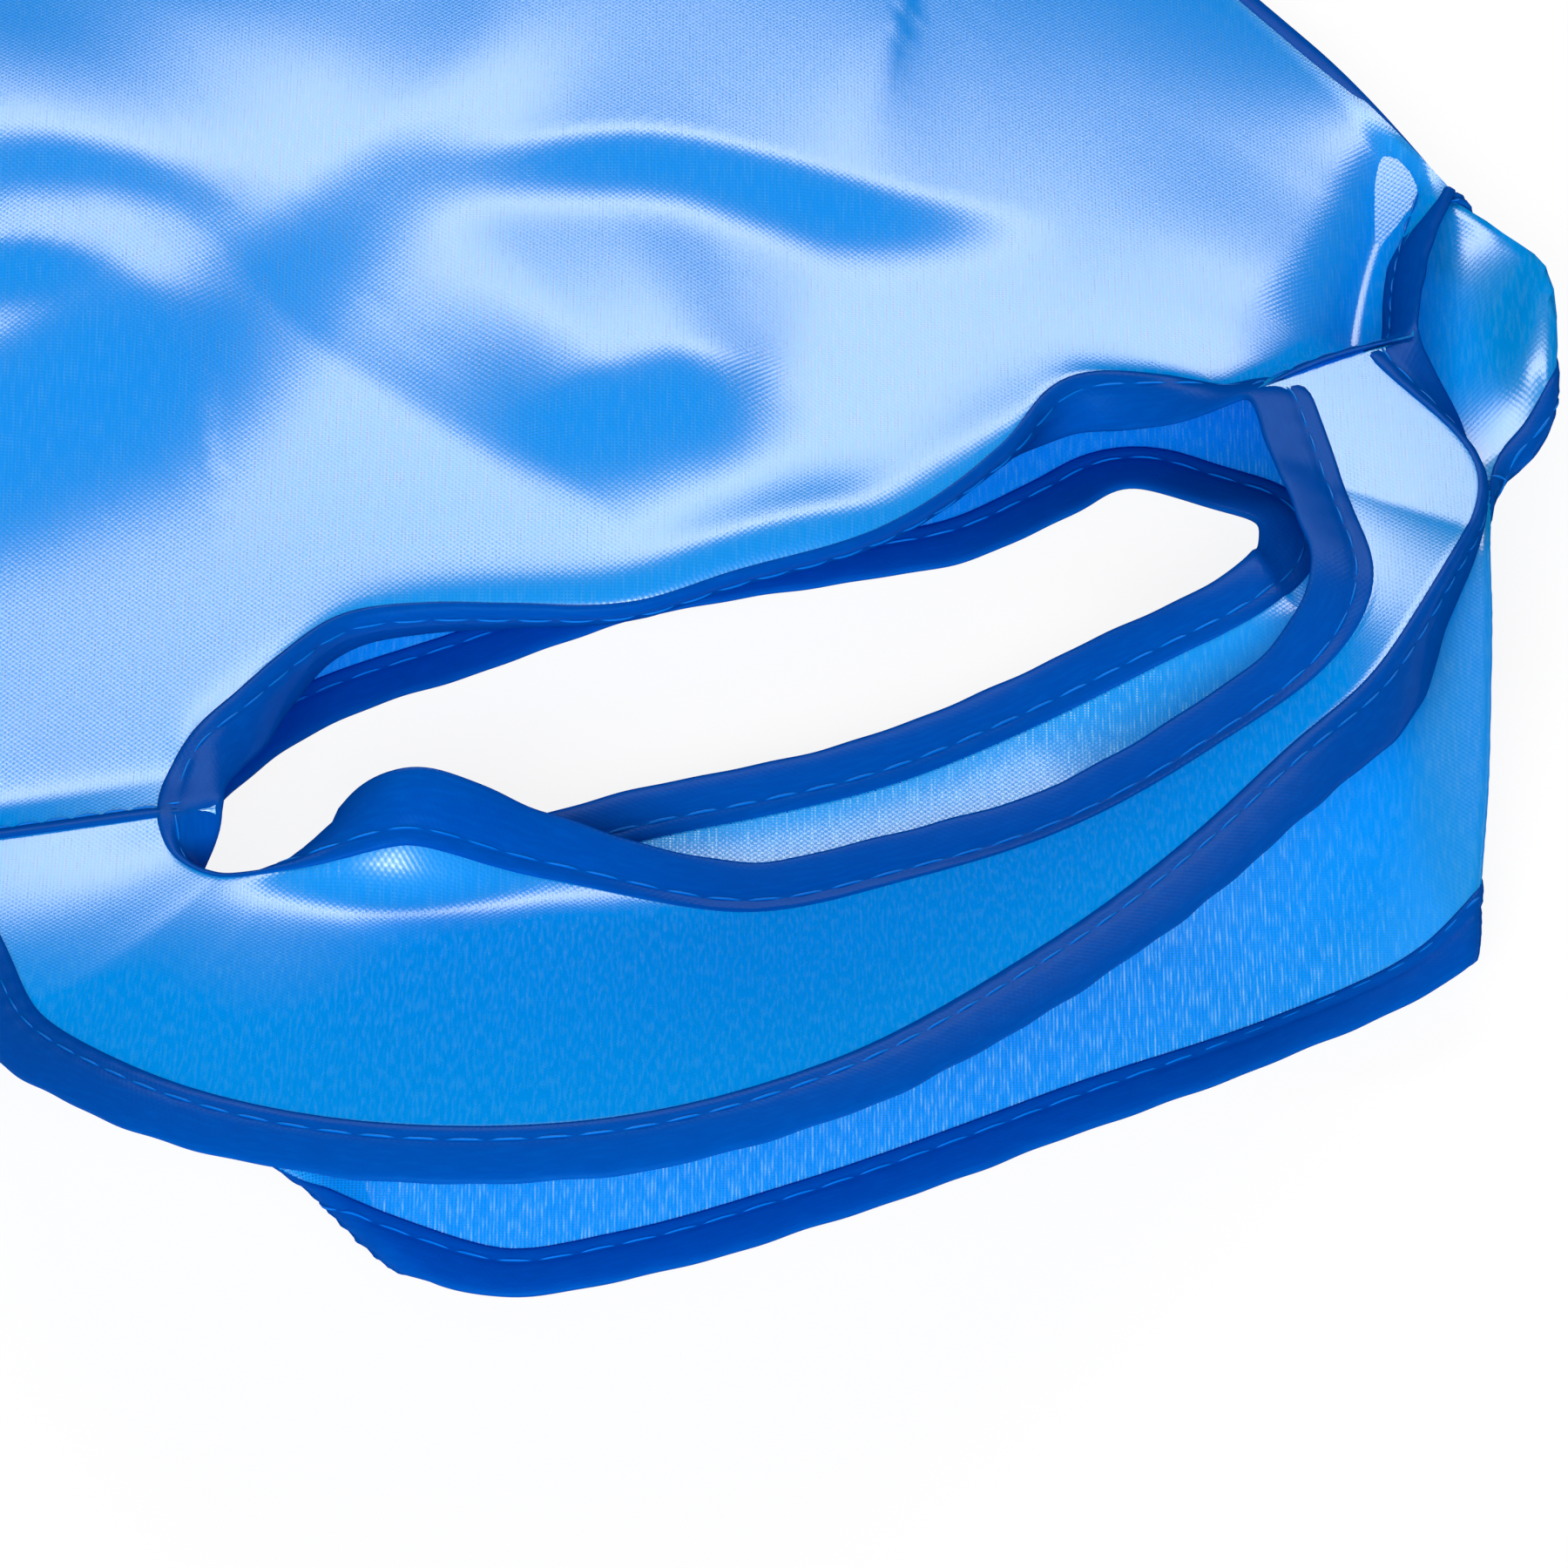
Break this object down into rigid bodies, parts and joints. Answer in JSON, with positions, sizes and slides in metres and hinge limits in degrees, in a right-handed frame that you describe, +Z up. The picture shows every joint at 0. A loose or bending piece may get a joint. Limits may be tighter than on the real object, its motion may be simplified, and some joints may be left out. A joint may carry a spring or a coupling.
{
  "type": "carrier bag",
  "caption": "Thin sewn cloth carrier bag lying flat, with crescent loop handles round hand holes and folded tape bound over the mouth and hole edges.",
  "frame": {"origin": "middle of the bag's outline on the surface that it lies on", "axes": "+Z up, +Y along the bag from the mouth to the bottom seam, +X across it"},
  "size_m": [0.2608, 0.4882, 0.042],
  "materials": {
    "cloth": "satin, thin and translucent, fine plain weave",
    "tape": "satin, folded double over the cloth, with a line of running stitch"
  },
  "bodies": {
    "root": {"front_panel": "cloth", "front_handle": "cloth", "front_hole_binding": "tape", "front_mouth_binding": "tape", "back_panel": "cloth", "back_handle": "cloth", "back_hole_binding": "tape", "back_mouth_binding": "tape"}
  },
  "joints": []
}
